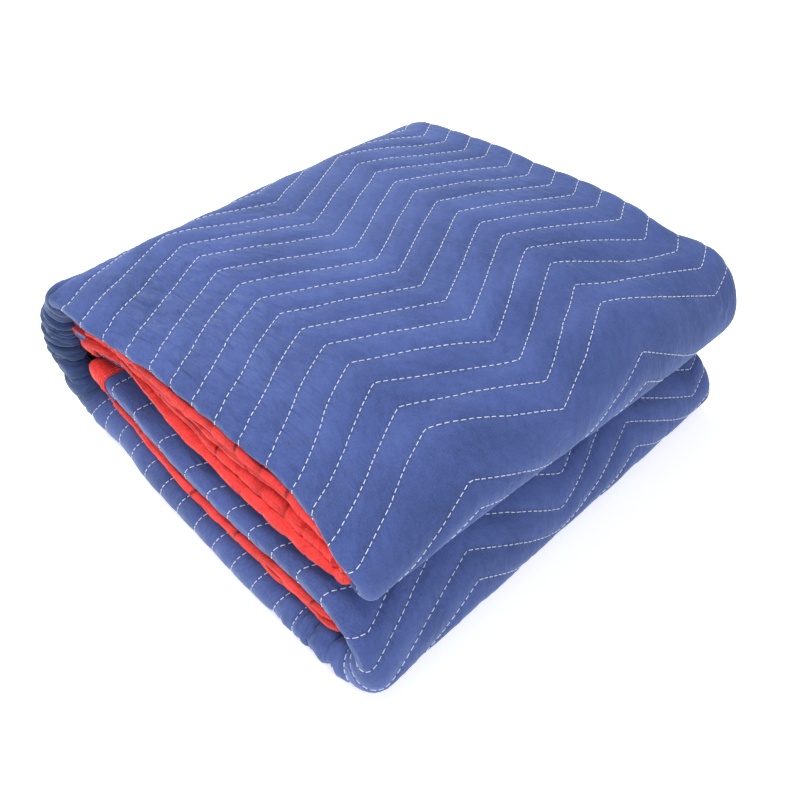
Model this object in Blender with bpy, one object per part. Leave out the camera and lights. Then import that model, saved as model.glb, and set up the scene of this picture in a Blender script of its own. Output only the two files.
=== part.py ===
"""A quilted moving blanket, folded in four one way and then in four the other way.

The cloth is one solid, and each of its four bound edges has a strip of its own. The cloth has two
measures of its own: u runs along the blanket, through the seven legs of the last folds, and the
rows of points run across it, through the four layers that the first folds made. A layer's depth is
measured from the packet's outer face. The layers are laid out level first, and press() then gives
them the heights, the sagging noses and the bulging left turn of the real pile.
"""
import math

import bmesh
import bpy

# Cloth, quilting and binding, in metres.
CLOTH = 0.0048           # thickness of the quilted cloth
LINE = 0.0286            # between two stitched lines
PUFF = 0.0028            # how far the cloth stands up between two lines
ZIG_LEG = 0.1110         # one leg of the zigzag, across the blanket
ZIG_SHIFT = 0.0581       # how far one leg carries a line along the blanket
ZIG_ZERO_Y = -0.1316     # a bend at which the lines are at their own u
ZIG_FADE = 0.1200        # run over which the zigzag dies out at a bound end
BINDING_WIDTH = 0.0220   # what the binding covers on each face
BINDING = 0.0010         # thickness of the binding
CLEAR = 0.0004           # between cloth and binding
STRIP_START = BINDING_WIDTH + 3 * CLEAR   # where a side binding starts, from a bound end

# The level layers.
PITCH = 0.0102           # from one layer to the next
INNER_RADIUS = 0.0045    # inside the tightest turn
PACKET_GAP = 0.0036      # between the upper and the lower packet
DROP_RUN = 0.0150        # run over which a layer drops behind a full front fold
UPPER_NOSE_X = 0.1890    # centres of the two right turns and of the left one
LOWER_NOSE_X = 0.2025
LEFT_TURN_X = -0.1479
UNDER_END_X = -0.1663    # the two bound ends, inside the left turn
OVER_END_X = -0.1444

NOSE = 3 * PITCH + CLOTH + INNER_RADIUS
PACKET = 2 * NOSE
UPPER_BASE = PACKET + PACKET_GAP
STACK = UPPER_BASE + PACKET
LEFT_TURN = STACK / 2

# How the level layers are pressed into shape.
UPPER_SAG = 0.40
LOWER_SAG = 0.40
SAG_START_X = 0.1270
SAG_RUN = 0.0570
LEFT_BULGE = 1.28
LEFT_LEAN_FRONT = 0.54
LEFT_LEAN_BACK = 0.06
LEFT_CROWN = 0.0050      # how much higher the left turn stands midway along it
NOSE_SKEW = 0.0060       # how much further out the upper nose reaches at the back
CENTRE_X = -0.0081       # middle of the footprint before it is centred
CENTRE_Y = 0.0031

# Heights of the lower packet and of the whole pile, along the front and along the back.
FRONT_Y = -0.2500
BACK_Y = 0.2450
HEIGHT_COLUMNS = ("x", "lower_front", "lower_back", "pile_front", "pile_back")
HEIGHTS = (
    (-0.215, 0.1080, 0.0980, 0.1850, 0.1880),
    (-0.165, 0.1070, 0.0990, 0.1900, 0.1960),
    (-0.110, 0.1060, 0.0970, 0.1900, 0.1975),
    (-0.060, 0.1010, 0.0930, 0.1880, 0.1990),
    (0.000, 0.0970, 0.0890, 0.1870, 0.1985),
    (0.060, 0.0960, 0.0860, 0.1850, 0.1975),
    (0.115, 0.0990, 0.0830, 0.1790, 0.1930),
    (0.170, 0.1020, 0.0740, 0.1660, 0.1780),
)

# Where the folds and the bound edges of the four layers lie, leg by leg: y of the front fold, of
# the two bound edges and of the back fold, how far the front fold covers the layers behind it,
# and how loosely the layers lie.
LEGS = ("under", "upper_nose", "top", "left_turn", "bottom", "lower_nose", "over")
LAYOUT_COLUMNS = ("leg", "share", "front", "edge_a", "edge_b", "back", "full", "pitch")
LAYOUT = (
    ("under", 0.00, -0.2240, -0.2300, -0.2260, 0.2370, 0.0, 0.0102),
    ("under", 0.20, -0.2250, -0.2310, -0.2270, 0.2390, 0.0, 0.0102),
    ("under", 0.45, -0.2280, -0.2390, -0.2350, 0.2410, 0.0, 0.0102),
    ("under", 0.80, -0.2300, -0.2450, -0.2400, 0.2440, 0.0, 0.0102),
    ("upper_nose", 0.30, -0.2440, -0.2440, -0.2400, 0.2640, 0.0, 0.0102),
    ("upper_nose", 0.70, -0.2500, -0.2420, -0.2380, 0.2640, 0.0, 0.0102),
    ("top", 0.02, -0.2420, -0.2390, -0.2360, 0.2560, 0.0, 0.0102),
    ("top", 0.15, -0.2385, -0.2370, -0.2330, 0.2450, 0.0, 0.0102),
    ("top", 0.30, -0.2420, -0.2400, -0.2370, 0.2440, 0.0, 0.0102),
    ("top", 0.60, -0.2430, -0.2400, -0.2370, 0.2420, 0.0, 0.0102),
    ("top", 0.75, -0.2480, -0.2400, -0.2370, 0.2400, 0.0, 0.0102),
    ("top", 0.90, -0.2540, -0.2380, -0.2340, 0.2360, 0.0, 0.0102),
    ("left_turn", 0.05, -0.2540, -0.2040, -0.2030, 0.2330, 0.2, 0.0102),
    ("left_turn", 0.25, -0.2500, -0.2020, -0.2020, 0.2310, 1.0, 0.0106),
    ("left_turn", 0.50, -0.2480, -0.1990, -0.1990, 0.2370, 1.0, 0.0138),
    ("left_turn", 0.75, -0.2450, -0.2000, -0.2000, 0.2370, 1.0, 0.0106),
    ("bottom", 0.05, -0.2450, -0.2020, -0.2020, 0.2370, 1.0, 0.0104),
    ("bottom", 0.20, -0.2520, -0.2060, -0.2060, 0.2380, 1.0, 0.0103),
    ("bottom", 0.45, -0.2560, -0.2120, -0.2120, 0.2400, 1.0, 0.0102),
    ("bottom", 0.75, -0.2600, -0.2140, -0.2140, 0.2420, 1.0, 0.0102),
    ("bottom", 0.93, -0.2600, -0.2160, -0.2160, 0.2430, 1.0, 0.0102),
    ("lower_nose", 0.25, -0.2580, -0.2160, -0.2160, 0.2430, 0.9, 0.0102),
    ("lower_nose", 0.60, -0.2570, -0.2180, -0.2180, 0.2400, 0.0, 0.0102),
    ("over", 0.03, -0.2560, -0.2520, -0.2490, 0.2400, 0.0, 0.0102),
    ("over", 0.50, -0.2530, -0.2500, -0.2460, 0.2420, 0.0, 0.0102),
    ("over", 1.00, -0.2440, -0.2380, -0.2340, 0.2370, 0.0, 0.0102),
)

LEG_LENGTHS = {
    "under": UPPER_NOSE_X - UNDER_END_X,
    "upper_nose": math.pi * NOSE,
    "top": UPPER_NOSE_X - LEFT_TURN_X,
    "left_turn": math.pi * LEFT_TURN,
    "bottom": LOWER_NOSE_X - LEFT_TURN_X,
    "lower_nose": math.pi * NOSE,
    "over": LOWER_NOSE_X - OVER_END_X,
}
LEG_STARTS = {leg: sum(LEG_LENGTHS[name] for name in LEGS[:i]) for i, leg in enumerate(LEGS)}
LENGTH = sum(LEG_LENGTHS.values())
ROUTE_COLUMNS = ("u",) + LAYOUT_COLUMNS[2:]
ROUTE = [(LEG_STARTS[leg] + share * LEG_LENGTHS[leg], *rest) for leg, share, *rest in LAYOUT]

# Rows of points across the blanket, from bound edge a to bound edge b: the layer, the place in it
# (metres from the bound edge, y, a share of the drop, or degrees of a turn), and the share of the
# zigzag's shift.
ZIG_STEPS = 3            # rows on one leg of the zigzag
ROWS_TO_FRONT = (
    ("bound_a", 0.0, 0.0), ("bound_a", BINDING_WIDTH, 0.0), ("a1", 0.0, 0.0),
    ("inner", 0.0, 0.0), ("inner", 60.0, 0.0), ("inner", 120.0, 0.0), ("inner", 180.0, 0.0),
    ("a2", 0.04, 0.0), ("a2", -0.14, 0.0), ("a2", -0.185, 0.4),
    ("drop", 0.0, 0.85), ("drop", 0.5, 0.92),
    ("front", 0.0, 0.96), ("front", 45.0, 0.98), ("front", 90.0, 1.0), ("front", 135.0, 0.98),
    ("front", 180.0, 0.96),
)
ROWS_ON_FACE = tuple(
    ("b2", ZIG_ZERO_Y + ZIG_LEG * i / ZIG_STEPS, abs((i / ZIG_STEPS + 1) % 2 - 1))
    for i in range(-2, 3 * ZIG_STEPS + 1)
)
ROWS_TO_EDGE = (
    ("outer", 0.0, 0.8), ("outer", 45.0, 0.7), ("outer", 90.0, 0.6), ("outer", 135.0, 0.5),
    ("outer", 180.0, 0.4), ("b1", 0.18, 0.0), ("b1", 0.0, 0.0),
    ("bound_b", BINDING_WIDTH, 0.0), ("bound_b", 0.0, 0.0),
)
ROWS = ROWS_TO_FRONT + ROWS_ON_FACE + ROWS_TO_EDGE
QUILTED = ("front", "b2", "outer")


def smooth(t):
    """A soft step from 0 to 1."""
    t = min(max(t, 0.0), 1.0)
    return t * t * (3 - 2 * t)


def mix(a, b, t):
    return a + (b - a) * t


def lookup(rows, columns, at):
    """A table's values at one value of its first column, blended softly between two rows."""
    at = min(max(at, rows[0][0]), rows[-1][0])
    for low, high in zip(rows, rows[1:]):
        if at <= high[0]:
            t = smooth((at - low[0]) / (high[0] - low[0]))
            return {name: mix(a, b, t) for name, a, b in zip(columns, low, high)}


def leg_at(u):
    """The leg that u lies on, and the distance along it."""
    leg = [name for name in LEGS if u >= LEG_STARTS[name] or name == LEGS[0]][-1]
    return leg, u - LEG_STARTS[leg]


def route(u):
    """The outer face at u in the level packet: x, z, and the direction into the packet."""
    leg, d = leg_at(u)
    if leg == "under":
        return UNDER_END_X + d, UPPER_BASE, 0.0, 1.0
    if leg == "top":
        return UPPER_NOSE_X - d, STACK, 0.0, -1.0
    if leg == "bottom":
        return LEFT_TURN_X + d, 0.0, 0.0, 1.0
    if leg == "over":
        return LOWER_NOSE_X - d, PACKET, 0.0, -1.0
    if leg == "left_turn":
        x, z = -math.sin(d / LEFT_TURN), math.cos(d / LEFT_TURN)
        return LEFT_TURN_X + LEFT_TURN * x, LEFT_TURN + LEFT_TURN * z, -x, -z
    centre = (UPPER_NOSE_X, UPPER_BASE + NOSE) if leg == "upper_nose" else (LOWER_NOSE_X, NOSE)
    x, z = math.sin(d / NOSE), -math.cos(d / NOSE)
    return centre[0] + NOSE * x, centre[1] + NOSE * z, -x, -z


def press(x, y, z):
    """Moves a point of the level packet to its place in the real pile."""
    sag = smooth((x - SAG_START_X) / SAG_RUN)
    back = smooth((y - FRONT_Y) / (BACK_Y - FRONT_Y))
    if z > PACKET + PACKET_GAP / 2:
        x += (NOSE_SKEW * back - UPPER_SAG * (z - UPPER_BASE - NOSE)) * sag
    else:
        x -= LOWER_SAG * (z - NOSE) * sag
    out = max(LEFT_TURN_X - x, 0.0)
    lean = mix(LEFT_LEAN_FRONT, LEFT_LEAN_BACK, back) * smooth(out / LEFT_TURN)
    x += lean * (z - LEFT_TURN) - (LEFT_BULGE - 1) * out
    heights = lookup(HEIGHTS, HEIGHT_COLUMNS, x)
    crown = LEFT_CROWN * smooth(out / LEFT_TURN + 0.6) * 4 * back * (1 - back)
    lower = mix(heights["lower_front"], heights["lower_back"], back)
    pile = mix(heights["pile_front"], heights["pile_back"], back) + crown
    if z <= PACKET:
        z *= lower / PACKET
    else:
        z = lower + (z - PACKET) * (pile - lower) / (STACK - PACKET)
    return x - CENTRE_X, y - CENTRE_Y, z


def across(row, lay):
    """Where a row's middle lies across the packet at one u: y and depth."""
    layer, place, _ = row
    pitch = lay["pitch"]
    half = CLOTH / 2
    radius = mix(0.5, 1.5, lay["full"]) * pitch
    front_y = lay["front"] + half + radius
    back_y = lay["back"] - half - 1.5 * pitch
    drop = 2 * radius - pitch
    s, c = math.sin(math.radians(place)), math.cos(math.radians(place))
    if layer == "bound_a":
        return lay["edge_a"] + place, half + 2 * pitch
    if layer == "a1":
        return place, half + 2 * pitch
    if layer == "inner":
        return back_y + pitch / 2 * s, half + (1.5 + c / 2) * pitch
    if layer == "a2":
        return place, half + pitch
    if layer == "drop":
        return front_y + DROP_RUN * (1 - place), half + pitch + drop * smooth(place)
    if layer == "front":
        return front_y - radius * s, half + radius * (1 + c)
    if layer == "b2":
        return place, half
    if layer == "outer":
        return back_y + 1.5 * pitch * s, half + 1.5 * pitch * (1 - c)
    if layer == "b1":
        return place, half + 3 * pitch
    return lay["edge_b"] + place, half + 3 * pitch


def section(u):
    """Middle line of the four layers at u, as y, depth and the cloth's normal for each row."""
    lay = lookup(ROUTE, ROUTE_COLUMNS, u)
    middle = [across(row, lay) for row in ROWS]
    result = []
    for i, (y, depth) in enumerate(middle):
        before, after = middle[max(i - 1, 0)], middle[min(i + 1, len(middle) - 1)]
        steps = []
        for a, b in ((before, (y, depth)), ((y, depth), after)):
            size = math.hypot(b[0] - a[0], b[1] - a[1])
            if size > 0:
                steps.append(((b[0] - a[0]) / size, (b[1] - a[1]) / size))
        along = [sum(step[k] for step in steps) for k in (0, 1)]
        size = math.hypot(*along)
        result.append((y, depth, along[1] / size, -along[0] / size))
    return result


def place(u, y, depth):
    """A point of the pile from its u, y and depth."""
    x, z, into_x, into_z = route(u)
    return press(x + into_x * depth, y, z + into_z * depth)


def shifted(u, shift):
    """u moved by the zigzag, which dies out at both bound ends."""
    from_end = min(u, LENGTH - u) - STRIP_START
    return u - ZIG_SHIFT * shift * smooth(from_end / ZIG_FADE)


def puff_weight(u):
    """How much the quilting stands up at u: not where layers press on each other or the floor."""
    leg, d = leg_at(u)
    turn = d / NOSE
    if leg == "top":
        return 1.0
    if leg == "left_turn":
        return smooth((math.pi - d / LEFT_TURN - 0.35) / 0.4)
    if leg == "upper_nose":
        return smooth((turn - 0.6) / 0.6)
    if leg == "lower_nose":
        return smooth((turn - 0.5) / 0.5) * smooth((2.7 - turn) / 0.4)
    return 0.0


def quilt_columns():
    """Places of the columns along u, each with 1 between two stitched lines and 0 elsewhere."""
    zero = LEG_STARTS["top"]
    curved = LEG_STARTS["lower_nose"], LEG_STARTS["over"] + ZIG_SHIFT + LINE
    columns = [(u, 0.0) for u in (0.0, STRIP_START, LENGTH - STRIP_START, LENGTH)]
    first, last = math.ceil(-zero / LINE), math.floor((LENGTH - zero) / LINE)
    for k in range(first, last + 1):
        u = zero + k * LINE
        shown = puff_weight(u) > 0 or puff_weight(u + LINE / 2) > 0
        inside = STRIP_START + LINE / 4 < u < LENGTH - STRIP_START - LINE / 4
        if inside and (shown or k % 3 == 0 or curved[0] < u < curved[1]):
            columns.append((u, 0.0))
        if shown:
            columns.append((u + LINE / 2, 1.0))
    return sorted(columns)


def make_object(name, points, faces, colour, roughness):
    """One closed solid with its own material."""
    mesh = bpy.data.meshes.new(name)
    mesh.from_pydata(points, [], faces)
    shape = bmesh.new()
    shape.from_mesh(mesh)
    bmesh.ops.recalc_face_normals(shape, faces=shape.faces)
    shape.to_mesh(mesh)
    shape.free()
    material = bpy.data.materials.new(name)
    material.use_nodes = True
    finish = material.node_tree.nodes["Principled BSDF"]
    finish.inputs["Base Color"].default_value = (*colour, 1.0)
    finish.inputs["Roughness"].default_value = roughness
    finish.inputs["Metallic"].default_value = 0.0
    mesh.materials.append(material)
    made = bpy.data.objects.new(name, mesh)
    bpy.context.scene.collection.objects.link(made)
    return made


def loft(rings, closed):
    """Joins rings of points into a tube, and fills the first and the last ring with faces."""
    points = [point for ring in rings for point in ring]
    n = len(rings[0])
    faces = []
    for i in range(len(rings) - 1):
        for j in range(n):
            k = (j + 1) % n
            a, b, c, d = i * n + j, i * n + k, (i + 1) * n + k, (i + 1) * n + j
            if math.dist(points[a], points[c]) < math.dist(points[b], points[d]):
                faces += [(a, b, c), (a, c, d)]
            else:
                faces += [(a, b, d), (b, c, d)]
    last = (len(rings) - 1) * n
    for ring in closed:
        faces.append(tuple(ring))
        faces.append(tuple(last + j for j in ring))
    return points, faces


def panel():
    """The quilted cloth, with its stitched lines as soft grooves."""
    rings = []
    for u, between in quilt_columns():
        ring = []
        for side in (1, -1):
            rows = range(len(ROWS)) if side == 1 else reversed(range(len(ROWS)))
            for i in rows:
                layer, _, shift = ROWS[i]
                at = shifted(u, shift)
                y, depth, normal_y, normal_depth = section(at)[i]
                off = side * CLOTH / 2
                if side == 1 and layer in QUILTED:
                    off += PUFF * between * puff_weight(at)
                ring.append(place(at, y + normal_y * off, depth + normal_depth * off))
        rings.append(ring)
    n = len(ROWS)
    ends = [(j, j + 1, 2 * n - 2 - j, 2 * n - 1 - j) for j in range(n - 1)]
    return loft(rings, ends)


def strip_profile():
    """Cross-section of a binding: how far it reaches onto the cloth, and off its middle."""
    inner = CLOTH / 2 + CLEAR
    outer = inner + BINDING
    rim = -CLEAR - BINDING
    return (
        (BINDING_WIDTH, inner), (-CLEAR, inner), (-CLEAR, -inner), (BINDING_WIDTH, -inner),
        (BINDING_WIDTH, -outer), (rim, -outer), (rim, outer), (BINDING_WIDTH, outer),
    )


STRIP_ENDS = ((0, 1, 6, 7), (1, 2, 5, 6), (2, 3, 4, 5))


def side_binding(row, sign):
    """Binding along one of the two long edges, between the bound ends."""
    rings = []
    for u, _ in quilt_columns()[1:-1]:
        y, depth, _, _ = section(u)[row]
        rings.append([place(u, y + sign * reach, depth + off) for reach, off in strip_profile()])
    return loft(rings, STRIP_ENDS)


def end_binding(edge, sign):
    """Binding along one of the two ends, through all four layers and their folds."""
    rings = []
    for i in range(len(ROWS)):
        ring = []
        for reach, off in strip_profile():
            u = edge + sign * reach
            y, depth, normal_y, normal_depth = section(u)[i]
            ring.append(place(u, y + normal_y * off, depth + normal_depth * off))
        rings.append(ring)
    return loft(rings, STRIP_ENDS)


def main():
    for old in list(bpy.data.objects):
        bpy.data.objects.remove(old, do_unlink=True)
    blue = (0.070, 0.098, 0.330)
    red = (0.800, 0.050, 0.035)
    make_object("panel", *panel(), blue, 0.85)
    make_object("binding_side_a", *side_binding(0, 1), red, 0.75)
    make_object("binding_side_b", *side_binding(len(ROWS) - 1, 1), red, 0.75)
    make_object("binding_end_a", *end_binding(0.0, 1), red, 0.75)
    make_object("binding_end_b", *end_binding(LENGTH, -1), red, 0.75)


main()
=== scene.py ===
"""The looks of a folded moving blanket: quilted blue cloth, red binding and white stitching.

The cloth is one sheet with a fine grid of points. A column of the grid follows one stitched line
or a place between two of them, and a row follows one place in the width of the cloth. The grid is
folded by the same rules as the solid, and then gets its quilting, its puckers and its wrinkles.
"""
import math

import bpy
import numpy as np
from mathutils import Matrix, Vector


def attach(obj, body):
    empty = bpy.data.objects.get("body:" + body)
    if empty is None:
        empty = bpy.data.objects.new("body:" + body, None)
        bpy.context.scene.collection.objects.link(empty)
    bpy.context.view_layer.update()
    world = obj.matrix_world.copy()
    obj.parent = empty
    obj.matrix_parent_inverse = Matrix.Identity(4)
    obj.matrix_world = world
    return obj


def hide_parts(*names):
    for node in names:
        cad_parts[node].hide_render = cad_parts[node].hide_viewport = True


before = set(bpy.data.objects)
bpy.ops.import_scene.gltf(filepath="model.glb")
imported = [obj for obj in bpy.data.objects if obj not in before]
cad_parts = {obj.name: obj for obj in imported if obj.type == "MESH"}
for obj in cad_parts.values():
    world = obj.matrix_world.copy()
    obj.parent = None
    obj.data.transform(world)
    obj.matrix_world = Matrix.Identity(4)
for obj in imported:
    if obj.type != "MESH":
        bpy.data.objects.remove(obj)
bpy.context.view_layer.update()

# Cloth, quilting and binding, in metres.
CLOTH = 0.0048  # thickness of the quilted cloth
LINE = 0.0286  # from one stitched line to the next
LINE_OFFSET = 0.002  # the first line's distance from the start of the top
MISSING_LINE = -1  # a line that was never stitched
ZIG_LEG = 0.111  # from one bend of the zigzag to the next, across the blanket
ZIG_SHIFT = 0.0581  # how far a leg of the zigzag carries a line along the blanket
ZIG_ZERO_Y = -0.1316  # where the first bend lies
ZIG_FADE = 0.12  # over how much cloth the zigzag fades out towards a bound end
ZIG_FRONT_LEG = 0.123  # the leg in front of ZIG_ZERO_Y, which ends on the lip of the fold
ZIG_CORNER = 0.012  # how far a bend is rounded, as a share of a leg
OVER_SLIP = 0.03  # how much further back the bends lie on the over leg
NOSE_SLIP = 0.0045  # how much nearer to the front they lie on the lower nose
NOSE_SLIP_RUN = 0.25  # how far back from the first bend that is felt
LIP_DIP = 0.0042  # how far the top comes down before its lip
LIP_RUN = 0.033  # how far behind the lip it starts to
LIP_SQUARE = 0.45  # how much squarer than round the lip is
LIP_START = 0.04  # over how much of the top's start the lip takes its form
BINDING_WIDTH = 0.022
STRIP_START = 0.0232  # from a bound end to the first ring of a side binding
LEAST_Z = 0.0003  # no point of the cloth or of a binding lies lower

# The level layers, as in the solid.
PITCH = 0.0102  # from one layer of cloth to the next
INNER_RADIUS = 0.0045  # of the innermost layer in a nose
PACKET_GAP = 0.0036  # between the lower and the upper packet of layers
DROP_RUN = 0.015  # where a2 comes down to the front fold
UPPER_NOSE_X = 0.189
LOWER_NOSE_X = 0.2025
LEFT_TURN_X = -0.1479
UNDER_END_X = -0.1663
OVER_END_X = -0.1444

NOSE = 3 * PITCH + CLOTH + INNER_RADIUS
PACKET = 2 * NOSE
UPPER_BASE = PACKET + PACKET_GAP
STACK = UPPER_BASE + PACKET
LEFT_TURN = STACK / 2

# How the real pile differs from the level layers.
UPPER_SAG = 0.4  # how far the noses lean back, for each unit of height
LOWER_SAG = 0.4
SAG_START_X = 0.127
SAG_RUN = 0.057
LEFT_BULGE = 1.28  # how much wider than round the left turn is
LEFT_LEAN_FRONT = 0.54  # how far its upper part leans in, for each unit of height
LEFT_LEAN_BACK = 0.06
LEFT_CROWN = 0.005  # how much higher it is halfway between front and back
LEFT_CROWN_START = 0.6
NOSE_SKEW = 0.006  # how much further out the upper nose is at the back
CENTRE_X = -0.0081  # the middle of the pile in the level layers
CENTRE_Y = 0.0031
FRONT_Y = -0.25
BACK_Y = 0.245

# Heights of the lower strip and of the whole pile, at its front and at its back.
HEIGHT_COLUMNS = ("x", "lower_front", "lower_back", "pile_front", "pile_back")
HEIGHTS = (
    (-0.215, 0.108, 0.098, 0.185, 0.188),
    (-0.165, 0.107, 0.099, 0.190, 0.196),
    (-0.110, 0.106, 0.097, 0.190, 0.1975),
    (-0.060, 0.101, 0.093, 0.188, 0.199),
    (0.000, 0.097, 0.089, 0.187, 0.1985),
    (0.060, 0.096, 0.086, 0.185, 0.1975),
    (0.115, 0.099, 0.083, 0.179, 0.193),
    (0.170, 0.102, 0.074, 0.166, 0.178),
)
LEGS = ("under", "upper_nose", "top", "left_turn", "bottom", "lower_nose", "over")
# Where the layers end or fold in y, how full the front fold is, and the distance between two
# layers. A row can leave out the last two, which are 0 and PITCH then.
LAYOUT_COLUMNS = ("leg", "share", "front", "edge_a", "edge_b", "back", "full", "pitch")
LAYOUT = (
    ("under", 0.00, -0.235, -0.240, -0.236, 0.237),
    ("under", 0.10, -0.230, -0.235, -0.231, 0.238),
    ("under", 0.20, -0.225, -0.231, -0.227, 0.239),
    ("under", 0.45, -0.228, -0.239, -0.235, 0.241),
    ("under", 0.80, -0.230, -0.245, -0.240, 0.244),
    ("upper_nose", 0.30, -0.244, -0.244, -0.240, 0.264),
    ("upper_nose", 0.70, -0.250, -0.242, -0.238, 0.264),
    ("top", 0.02, -0.242, -0.239, -0.236, 0.256),
    ("top", 0.15, -0.2385, -0.237, -0.233, 0.245),
    ("top", 0.30, -0.242, -0.240, -0.237, 0.244),
    ("top", 0.60, -0.243, -0.240, -0.237, 0.242),
    ("top", 0.75, -0.248, -0.240, -0.237, 0.240),
    ("top", 0.90, -0.254, -0.238, -0.234, 0.236),
    ("left_turn", 0.05, -0.254, -0.204, -0.203, 0.233, 0.2, 0.0102),
    ("left_turn", 0.25, -0.250, -0.202, -0.202, 0.231, 1.0, 0.0106),
    ("left_turn", 0.50, -0.248, -0.199, -0.199, 0.237, 1.0, 0.0138),
    ("left_turn", 0.75, -0.245, -0.200, -0.200, 0.237, 1.0, 0.0106),
    ("bottom", 0.05, -0.245, -0.202, -0.202, 0.237, 1.0, 0.0104),
    ("bottom", 0.20, -0.252, -0.206, -0.206, 0.238, 1.0, 0.0103),
    ("bottom", 0.45, -0.256, -0.212, -0.212, 0.240, 1.0, 0.0102),
    ("bottom", 0.75, -0.260, -0.214, -0.214, 0.242, 1.0, 0.0102),
    ("bottom", 0.93, -0.260, -0.216, -0.216, 0.243, 1.0, 0.0102),
    ("lower_nose", 0.25, -0.258, -0.216, -0.216, 0.243, 0.9, 0.0102),
    ("lower_nose", 0.60, -0.257, -0.218, -0.218, 0.240),
    ("over", 0.03, -0.256, -0.252, -0.249, 0.240),
    ("over", 0.50, -0.253, -0.250, -0.246, 0.242),
    ("over", 1.00, -0.244, -0.238, -0.234, 0.237),
)
LEG_LENGTHS = {
    "under": UPPER_NOSE_X - UNDER_END_X,
    "upper_nose": math.pi * NOSE,
    "top": UPPER_NOSE_X - LEFT_TURN_X,
    "left_turn": math.pi * LEFT_TURN,
    "bottom": LOWER_NOSE_X - LEFT_TURN_X,
    "lower_nose": math.pi * NOSE,
    "over": LOWER_NOSE_X - OVER_END_X,
}
LEG_STARTS = {leg: sum(LEG_LENGTHS[name] for name in LEGS[:i]) for i, leg in enumerate(LEGS)}
LENGTH = sum(LEG_LENGTHS.values())
_, UPPER_START, ZERO, TURN_START, BOTTOM_START, LOWER_START, OVER_START = LEG_STARTS.values()
ROUTE_COLUMNS = ("u",) + LAYOUT_COLUMNS[2:]
ROUTE = [
    (LEG_STARTS[leg] + share * LEG_LENGTHS[leg], *(rest + [0.0, PITCH])[:6])
    for leg, share, *rest in LAYOUT
]

NOSE_GATHER = 0.013  # cloth that lies gathered where the bottom leg meets the lower nose
NOSE_GATHER_RUN = 0.06

# The stretches of cloth across the blanket, with their usual lengths. The row at y in the b2
# stretch is the measure of the others: it says where the zigzag bends.
STRETCHES = {
    "a1": 0.4700, "inner": math.pi * PITCH / 2, "a2": 0.4550, "drop": DROP_RUN,
    "front": math.pi * PITCH / 2, "b2": 0.4750, "outer": 1.5 * math.pi * PITCH, "b1": 0.4700,
}
B2_START = -0.2480
STRETCH_STARTS = {
    name: B2_START - sum(list(STRETCHES.values())[:5]) + sum(list(STRETCHES.values())[:i])
    for i, name in enumerate(STRETCHES)
}
NAMES = tuple(STRETCHES)

# The bound edges are slightly uneven: height, length and seed of each wave.
EDGE_WAVES = ((0.0012, 0.030, 3), (0.0006, 0.009, 4))
EDGE_REACH = 0.1  # how far into the cloth an uneven fold is felt

# The grid. Columns are counted for each stitched line.
SHOWN_STEPS = 6  # where the outer face shows
HIDDEN_STEPS = 3
GATHERED_STEPS = 12  # where the cloth is gathered
EDGE_COLUMNS = 7  # at each bound end
EDGE_STEP = 0.0037
EDGE_CLEAR = 0.0245  # from a bound end to the first other column
SHOWN_ROW = 0.0046
BEND_ROWS = 24  # rows from one bend to the next, each about SHOWN_ROW wide
MEDIUM_ROW = 3  # every third of them has level 2, and every ninth level 0
COARSE_ROW = 9
FOLD_ROWS = {"inner": 8, "outer": 12, "front": 12, "drop": 4}
HIDDEN_ROW = 0.038
EDGE_ZONE = 0.06  # how deep the fine rows go at an edge that shows

# Spans of u where the outer face shows, and where the cloth is gathered at its front fold.
SHOWN_SPANS = ((UPPER_START, BOTTOM_START + 0.020), (LOWER_START - 0.020, OVER_START + ZIG_SHIFT))
GATHERED_SPANS = (
    (TURN_START - 0.020, BOTTOM_START + 0.010),
    (LOWER_START - 0.080, LOWER_START - 0.005),
)


def smooth(t):
    """A soft step from 0 to 1."""
    t = np.clip(t, 0.0, 1.0)
    return t * t * (3 - 2 * t)


def plateau(x, rise, fall):
    """1 between a rise and a fall, each given as its start and its run."""
    return smooth((x - rise[0]) / rise[1]) * (1 - smooth((x - fall[0]) / fall[1]))


def mix(a, b, t):
    return a + (b - a) * t


def curve(table, columns, name, at):
    """One column of a table as a smooth curve without overshoot, read at the given places."""
    xs = np.array([row[0] for row in table], float)
    ys = np.array([row[columns.index(name)] for row in table], float)
    steep = np.diff(ys) / np.diff(xs)
    slope = np.zeros(len(xs))
    same = steep[:-1] * steep[1:] > 0
    slope[1:-1][same] = 2 / (1 / steep[:-1][same] + 1 / steep[1:][same])
    at = np.clip(at, xs[0], xs[-1])
    i = np.clip(np.searchsorted(xs, at) - 1, 0, len(xs) - 2)
    h = xs[i + 1] - xs[i]
    t = (at - xs[i]) / h
    return (
        ys[i] * (1 + 2 * t) * (1 - t) ** 2 + slope[i] * h * t * (1 - t) ** 2
        + ys[i + 1] * t * t * (3 - 2 * t) + slope[i + 1] * h * t * t * (t - 1)
    )


def lattice(ix, iy, seed):
    """A steady value from 0 to 1 for each whole-number place."""
    n = (ix * 374761393 + iy * 668265263 + seed * 974634777) & 0xFFFFFFFF
    n = ((n ^ (n >> 13)) * 1274126177) & 0xFFFFFFFF
    return ((n ^ (n >> 16)) & 0xFFFF) / 65535.0


def noise(x, y, seed):
    """Soft value noise from -1 to 1 with a wavelength of about 2."""
    x, y = np.broadcast_arrays(np.asarray(x, float), np.asarray(y, float))
    ix, iy = np.floor(x).astype(np.int64), np.floor(y).astype(np.int64)
    tx, ty = smooth(x - ix), smooth(y - iy)
    low = mix(lattice(ix, iy, seed), lattice(ix + 1, iy, seed), tx)
    high = mix(lattice(ix, iy + 1, seed), lattice(ix + 1, iy + 1, seed), tx)
    return 2 * mix(low, high, ty) - 1


def bump_at(x, centre, width):
    return np.exp(-((x - centre) / width) ** 2)


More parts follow.
